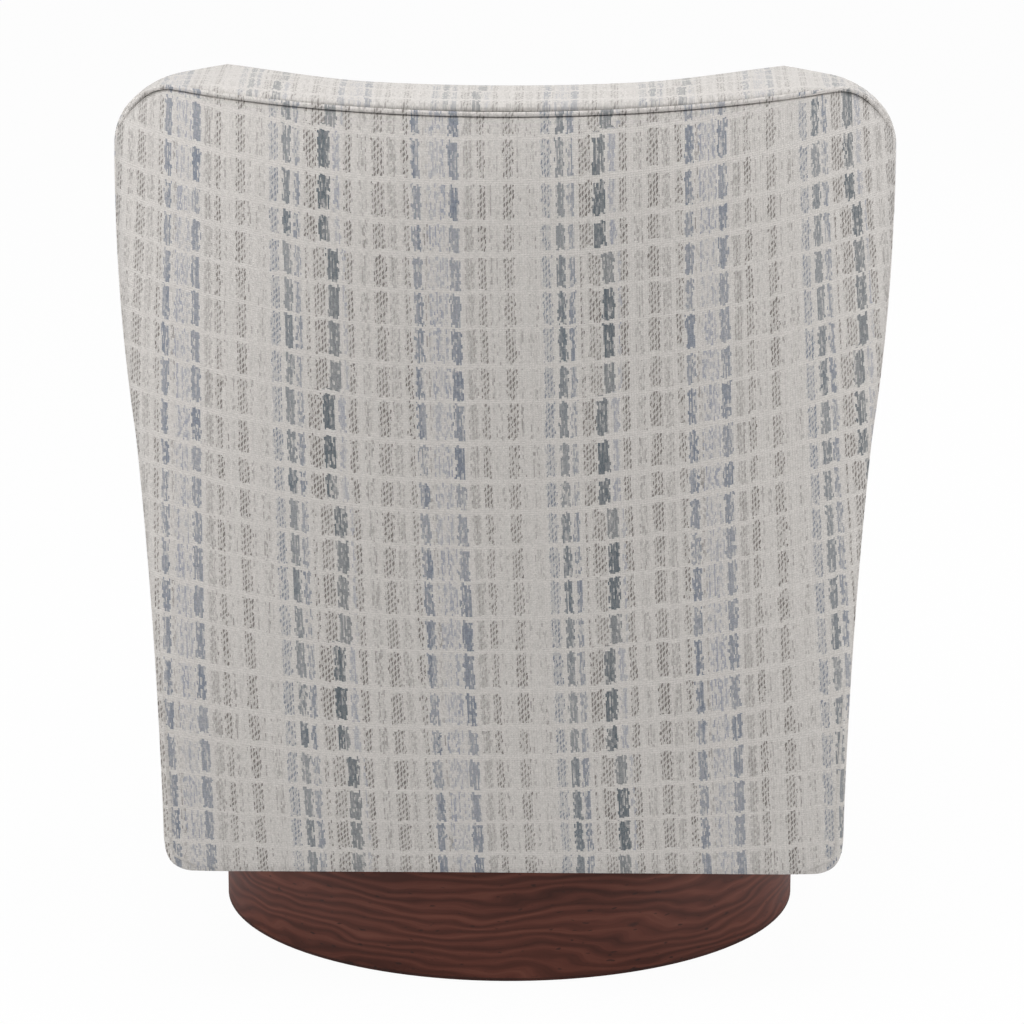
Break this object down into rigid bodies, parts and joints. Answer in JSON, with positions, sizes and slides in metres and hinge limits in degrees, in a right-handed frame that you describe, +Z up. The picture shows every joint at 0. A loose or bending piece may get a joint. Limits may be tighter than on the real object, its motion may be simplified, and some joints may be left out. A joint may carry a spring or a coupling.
{
  "type": "swivel rocker",
  "caption": "Upholstered tub chair with a curved wing back, track arms and a loose box cushion; it swivels and rocks on a round wood drum.",
  "frame": {"origin": "middle of the drum's footprint on the floor, on the swivel axis", "axes": "+Z up, the seat faces -Y, +X is the sitter's left"},
  "size_m": [0.7752, 0.8523, 0.9455],
  "materials": {
    "drum_wood": "satin",
    "frame_wood": "matte",
    "glide_plastic": "matte",
    "plated_steel": "satin",
    "painted_steel": "satin",
    "cage_plastic": "matte",
    "bush_plastic": "matte",
    "stop_rubber": "matte",
    "woven_check": "matte",
    "deck_cloth": "matte",
    "cover_cloth": "matte"
  },
  "bodies": {
    "base": {"plinth_drum": "drum_wood", "plinth_top": "frame_wood", "plinth_glue_blocks": "frame_wood", "floor_glides": "glide_plastic", "swivel_lower_plate": "plated_steel", "swivel_screws": "plated_steel", "king_pin": "plated_steel", "king_nut": "plated_steel"},
    "ball_ring": {"ball_cage": "cage_plastic", "swivel_balls": "plated_steel"},
    "turntable": {"swivel_upper_plate": "plated_steel", "rocker_saddle": "painted_steel", "saddle_rivets": "plated_steel", "rock_shaft": "plated_steel", "shaft_clips": "plated_steel", "bump_stops": "stop_rubber", "rocker_springs": "painted_steel"},
    "rocker": {"shaft_bushes": "bush_plastic", "seat_iron_left": "painted_steel", "seat_iron_right": "painted_steel", "seat_bolts": "plated_steel", "seat_bolt_nuts": "plated_steel", "side_rail_left": "frame_wood", "side_rail_right": "frame_wood", "front_rail": "frame_wood", "rear_rail": "frame_wood", "cross_rail_rear": "frame_wood", "cross_rail_front": "frame_wood", "corner_blocks": "frame_wood", "back_post_left": "frame_wood", "back_post_right": "frame_wood", "back_top_rail": "frame_wood", "back_mid_rail": "frame_wood", "back_lower_rail": "frame_wood", "back_ribs": "frame_wood", "arm_post_left": "frame_wood", "arm_post_right": "frame_wood", "arm_board_left": "frame_wood", "arm_board_right": "frame_wood", "seat_springs": "painted_steel", "seat_spring_clips": "plated_steel", "seat_deck": "deck_cloth", "dust_cover": "cover_cloth", "outside_back": "woven_check", "back_welt": "woven_check", "back_band": "woven_check", "outside_arm_left": "woven_check", "outside_arm_right": "woven_check", "arm_pad_left": "woven_check", "arm_pad_right": "woven_check", "inside_back": "woven_check", "front_border": "woven_check"},
    "cushion": {"seat_cushion": "woven_check"}
  },
  "joints": [
    {"name": "swivel", "type": "hinge", "parent": "base", "child": "turntable", "pos_m": [0, 0, 0.131], "axis": [0, 0, 1], "continuous": true},
    {"name": "ball_ring_turn", "type": "hinge", "parent": "base", "child": "ball_ring", "pos_m": [0, 0, 0.131], "axis": [0, 0, 1], "continuous": true},
    {"name": "rock", "type": "hinge", "parent": "turntable", "child": "rocker", "pos_m": [0, 0, 0.168], "axis": [1, 0, 0], "range_deg": [-8, 6], "stiffness_Nm_per_rad": 420, "springref_deg": 0.42, "deforming": ["rocker_springs"]},
    {"name": "cushion_lift", "type": "slide", "parent": "rocker", "child": "cushion", "axis": [0, 0, 1], "range_m": [0, 0.12]}
  ],
  "couplings": [
    {"joint": "ball_ring_turn", "follows": "swivel", "ratio": 0.5}
  ]
}
